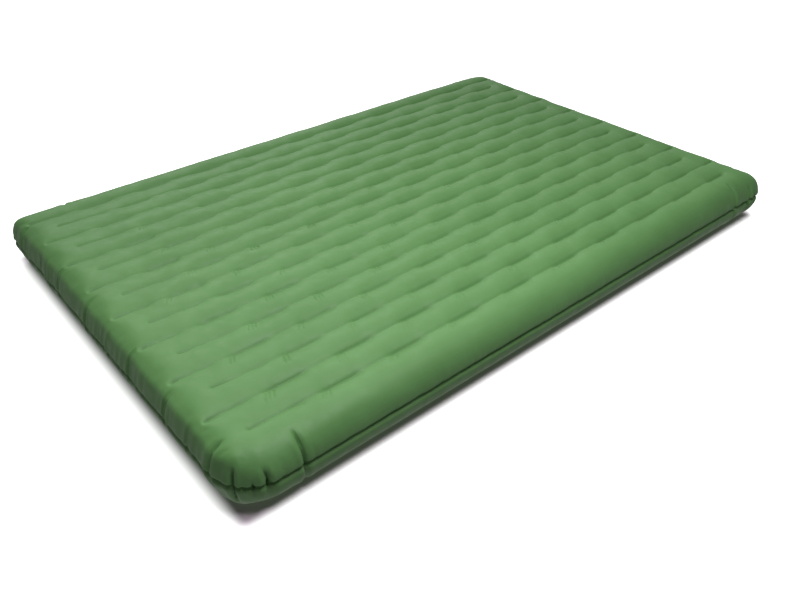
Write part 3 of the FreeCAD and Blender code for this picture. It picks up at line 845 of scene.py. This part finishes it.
# ---------------------------------------------------------------- floor, light and camera
SPAN = 14.0
floor_mesh = bpy.data.meshes.new("floor")
floor_corners = [(-SPAN, -SPAN, 0), (SPAN, -SPAN, 0), (SPAN, SPAN, 0), (-SPAN, SPAN, 0)]
floor_mesh.from_pydata(floor_corners, [], [(0, 1, 2, 3)])
floor = bpy.data.objects.new("floor", floor_mesh)
bpy.context.scene.collection.objects.link(floor)
floor_mat, tree, floor_bsdf = new_material("floor")
set_inputs(floor_bsdf, Roughness=0.9, Specular_IOR_Level=0.1, Emission_Color=(1, 1, 1, 1))

# how far a point of the floor is from a box a little smaller than the pad: further out the floor glows white,
# a painted light, and up to it gets no glow, a painted shade added to its own shadow
INSET = 0.03
box_half = (HALF_W - INSET, HALF_L - INSET, 0.0)
last = add(tree, "TexCoord").outputs["Object"]
for step, value in (("ABSOLUTE", None), ("SUBTRACT", box_half), ("MAXIMUM", (0.0, 0.0, 0.0))):
    math_node = add(tree, "VectorMath")
    math_node.operation = step
    tree.links.new(last, math_node.inputs[0])
    if value is not None:
        math_node.inputs[1].default_value = value
    last = math_node.outputs["Vector"]
gap = add(tree, "VectorMath")
gap.operation = "LENGTH"
tree.links.new(last, gap.inputs[0])
# painted light: the floor's glow rises from nothing near the pad to full strength further out
painted_floor_glow = add(tree, "MapRange", From_Min=0.004, From_Max=0.046)
painted_floor_glow.interpolation_type = "SMOOTHSTEP"
tree.links.new(gap.outputs["Value"], painted_floor_glow.inputs["Value"])
tree.links.new(painted_floor_glow.outputs["Result"], floor_bsdf.inputs["Emission Strength"])
# painted shadow: up to the box the floor's colour turns a darker purplish grey
tone = add_ramp(tree, [(0.0, (0.66, 0.55, 0.64)), (1.0, (0.93, 0.93, 0.93))], painted_floor_glow.outputs["Result"])
tree.links.new(tone.outputs["Color"], floor_bsdf.inputs["Base Color"])
assign(floor, floor_mat)

# the white floor shows, but it doesn't light the pad
floor.visible_diffuse = False
floor.visible_glossy = False

# a grey sky: lightest below the horizon, dark overhead, with a faint wide patch of light on the far side
FAR_SIDE = (-0.70, 0.62, 0.34)
world = bpy.data.worlds.new("studio")
world.use_nodes = True
sky = world.node_tree
where = add(sky, "TexCoord")
split = add(sky, "SeparateXYZ")
level = add(sky, "MapRange", From_Min=-1.0)
sky.links.new(where.outputs["Generated"], split.inputs["Vector"])
sky.links.new(split.outputs["Z"], level.inputs["Value"])
ramp = add(sky, "ValToRGB")
sky.links.new(level.outputs["Result"], ramp.inputs["Fac"])
for position, grey in ((0.0, 0.50), (0.46, 0.44), (0.53, 0.27), (0.80, 0.06)):
    stop = ramp.color_ramp.elements.new(position)
    stop.color = (grey, grey, grey, 1)
ramp.color_ramp.elements.remove(ramp.color_ramp.elements[0])
ramp.color_ramp.elements[-1].color = (0.02, 0.02, 0.02, 1)
toward = add(sky, "VectorMath")
toward.operation = "DOT_PRODUCT"
toward.inputs[1].default_value = FAR_SIDE
sky.links.new(where.outputs["Generated"], toward.inputs[0])
patch = add(sky, "MapRange", From_Min=0.55, From_Max=1.0, To_Max=0.15)
patch.interpolation_type = "SMOOTHSTEP"
sky.links.new(toward.outputs["Value"], patch.inputs["Value"])
total = add_mix(sky, "ADD", 1.0)
sky.links.new(ramp.outputs["Color"], total.inputs["A"])
sky.links.new(patch.outputs["Result"], total.inputs["B"])
sky.links.new(total.outputs["Result"], sky.nodes["Background"].inputs["Color"])
bpy.context.scene.world = world


def lamp(name, location, aim, size, power):
    """A round area light."""
    data = bpy.data.lights.new(name, "AREA")
    data.shape, data.size, data.energy = "DISK", size, power
    obj = bpy.data.objects.new(name, data)
    bpy.context.scene.collection.objects.link(obj)
    obj.location = location
    obj.rotation_mode = "QUATERNION"
    obj.rotation_quaternion = (Vector(aim) - Vector(location)).to_track_quat("-Z", "Y")


# soft light from straight above, stronger over the near side, and a broad sun from the far side
lamp("over_near", (0.95, -0.25, 2.2), (0.85, -0.25, 0.0), 1.1, 36)
lamp("over_middle", (0.1, -0.45, 2.2), (0.1, -0.45, 0.0), 1.1, 15)

# the sun is in two parts, so that only one of them shines on the fabric
SUN_ANGLE = math.radians(36)
SUN_WAY = Vector((0.74, -0.34, -0.58))
for name, energy, shows in (("left", 1.05, False), ("left_shine", 0.65, True)):
    sun_data = bpy.data.lights.new(name, "SUN")
    sun_data.energy, sun_data.angle = energy, SUN_ANGLE
    sun = bpy.data.objects.new(name, sun_data)
    bpy.context.scene.collection.objects.link(sun)
    sun.visible_glossy = shows
    sun.rotation_mode = "QUATERNION"
    sun.rotation_quaternion = SUN_WAY.to_track_quat("-Z", "Y")

# the photo's own angle
AZIMUTH, ELEVATION, DISTANCE = math.radians(49.64), math.radians(35.96), 2.11
TARGET = Vector((0.275, -0.248, 0.0))
back = Vector((
    math.sin(AZIMUTH) * math.cos(ELEVATION),
    -math.cos(AZIMUTH) * math.cos(ELEVATION),
    math.sin(ELEVATION)))
camera_data = bpy.data.cameras.new("camera")
camera_data.sensor_width = 36.0
camera_data.lens = 33.48
camera_data.clip_start, camera_data.clip_end = 0.05, 60.0
camera = bpy.data.objects.new("camera", camera_data)
bpy.context.scene.collection.objects.link(camera)
camera.location = TARGET + back * DISTANCE
camera.rotation_mode = "QUATERNION"
camera.rotation_quaternion = (-back).to_track_quat("-Z", "Y")
bpy.context.scene.camera = camera
bpy.context.scene.view_settings.view_transform = "Standard"
